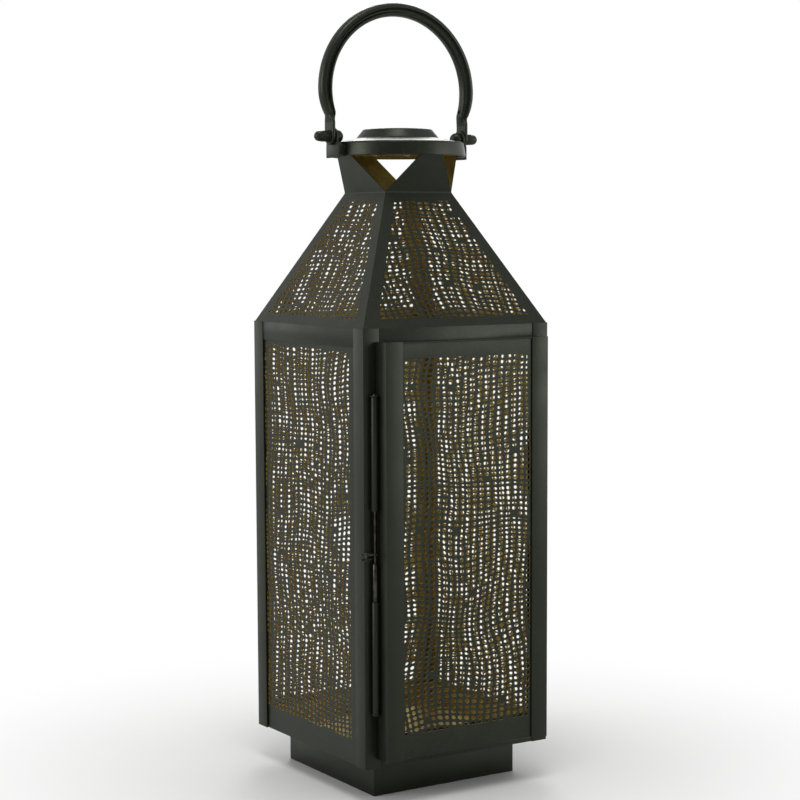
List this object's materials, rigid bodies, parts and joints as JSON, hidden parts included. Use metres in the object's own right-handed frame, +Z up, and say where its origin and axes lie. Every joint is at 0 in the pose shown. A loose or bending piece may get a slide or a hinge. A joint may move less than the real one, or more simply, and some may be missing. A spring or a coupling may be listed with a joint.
{
  "type": "solar lantern",
  "caption": "Tall square sheet-steel solar lantern with perforated sides and roof, a hinged box door, a round cap that hides a solar light, and an arched carrying bail.",
  "frame": {"origin": "centre of the plinth's underside", "axes": "+Z up, the door faces -Y, +X to the right seen from the door"},
  "size_m": [0.1636, 0.174, 0.5764],
  "materials": {
    "black_powder_coat": "matt powder coat",
    "dark_wire": "blackened steel wire",
    "plain_steel": "bright zinc plate",
    "dark_plastic": "moulded, fine texture",
    "solar_cell": "smooth cover over dark blue cells",
    "battery_sleeve": "smooth sleeve",
    "circuit_board": "solder mask",
    "clear_plastic": "frosted",
    "nickel_magnet": "nickel plate"
  },
  "bodies": {
    "root": {"plinth": "black_powder_coat", "floor_tray": "black_powder_coat", "corner_angle_front_left": "black_powder_coat", "corner_angle_front_right": "black_powder_coat", "corner_angle_rear_left": "black_powder_coat", "corner_angle_rear_right": "black_powder_coat", "top_band_left": "black_powder_coat", "top_band_right": "black_powder_coat", "top_band_rear": "black_powder_coat", "door_header": "black_powder_coat", "door_sill": "black_powder_coat", "side_sheet_left": "black_powder_coat", "side_sheet_right": "black_powder_coat", "rear_sheet": "black_powder_coat", "roof_sheet_front": "black_powder_coat", "roof_sheet_right": "black_powder_coat", "roof_sheet_rear": "black_powder_coat", "roof_sheet_left": "black_powder_coat", "cap": "black_powder_coat", "handle_bracket_left": "black_powder_coat", "handle_bracket_right": "black_powder_coat", "acorn_nut_left": "black_powder_coat", "acorn_nut_right": "black_powder_coat", "pivot_bolt_left": "black_powder_coat", "pivot_bolt_right": "black_powder_coat", "pivot_washer_left": "black_powder_coat", "pivot_washer_right": "black_powder_coat", "hinge_plate_upper": "black_powder_coat", "hinge_plate_lower": "black_powder_coat", "hinge_pin": "dark_wire", "hinge_eye": "dark_wire", "light_unit_screw_1": "plain_steel", "light_unit_screw_2": "plain_steel", "light_unit_screw_3": "plain_steel", "cap_boss_1": "plain_steel", "cap_boss_2": "plain_steel", "cap_boss_3": "plain_steel", "battery_hatch_screw": "plain_steel", "battery_contact_positive": "plain_steel", "battery_spring": "plain_steel", "switch_body": "plain_steel", "light_unit_housing": "dark_plastic", "battery_hatch": "dark_plastic", "solar_panel": "solar_cell", "battery": "battery_sleeve", "circuit_board": "circuit_board", "led": "clear_plastic", "led_lens": "clear_plastic", "door_magnet": "nickel_magnet"},
    "door": {"door_sheet": "black_powder_coat", "door_stile_hinge_side": "black_powder_coat", "door_stile_free_side": "black_powder_coat", "hinge_tube_upper": "black_powder_coat", "hinge_tube_lower": "black_powder_coat", "hinge_spacer": "dark_wire"},
    "bail": {"bail_handle": "black_powder_coat"},
    "switch": {"switch_slider": "dark_plastic"}
  },
  "joints": [
    {"name": "door_hinge", "type": "hinge", "parent": "root", "child": "door", "pos_m": [-0.0732, -0.0836, 0.18025], "axis": [0, 0, -1], "range_deg": [0, 115]},
    {"name": "bail_swing", "type": "hinge", "parent": "root", "child": "bail", "pos_m": [0, 0, 0.4775], "axis": [1, 0, 0], "range_deg": [-112, 112]},
    {"name": "switch_slide", "type": "slide", "parent": "root", "child": "switch", "axis": [1, 0, 0], "range_m": [0, 0.003]}
  ]
}
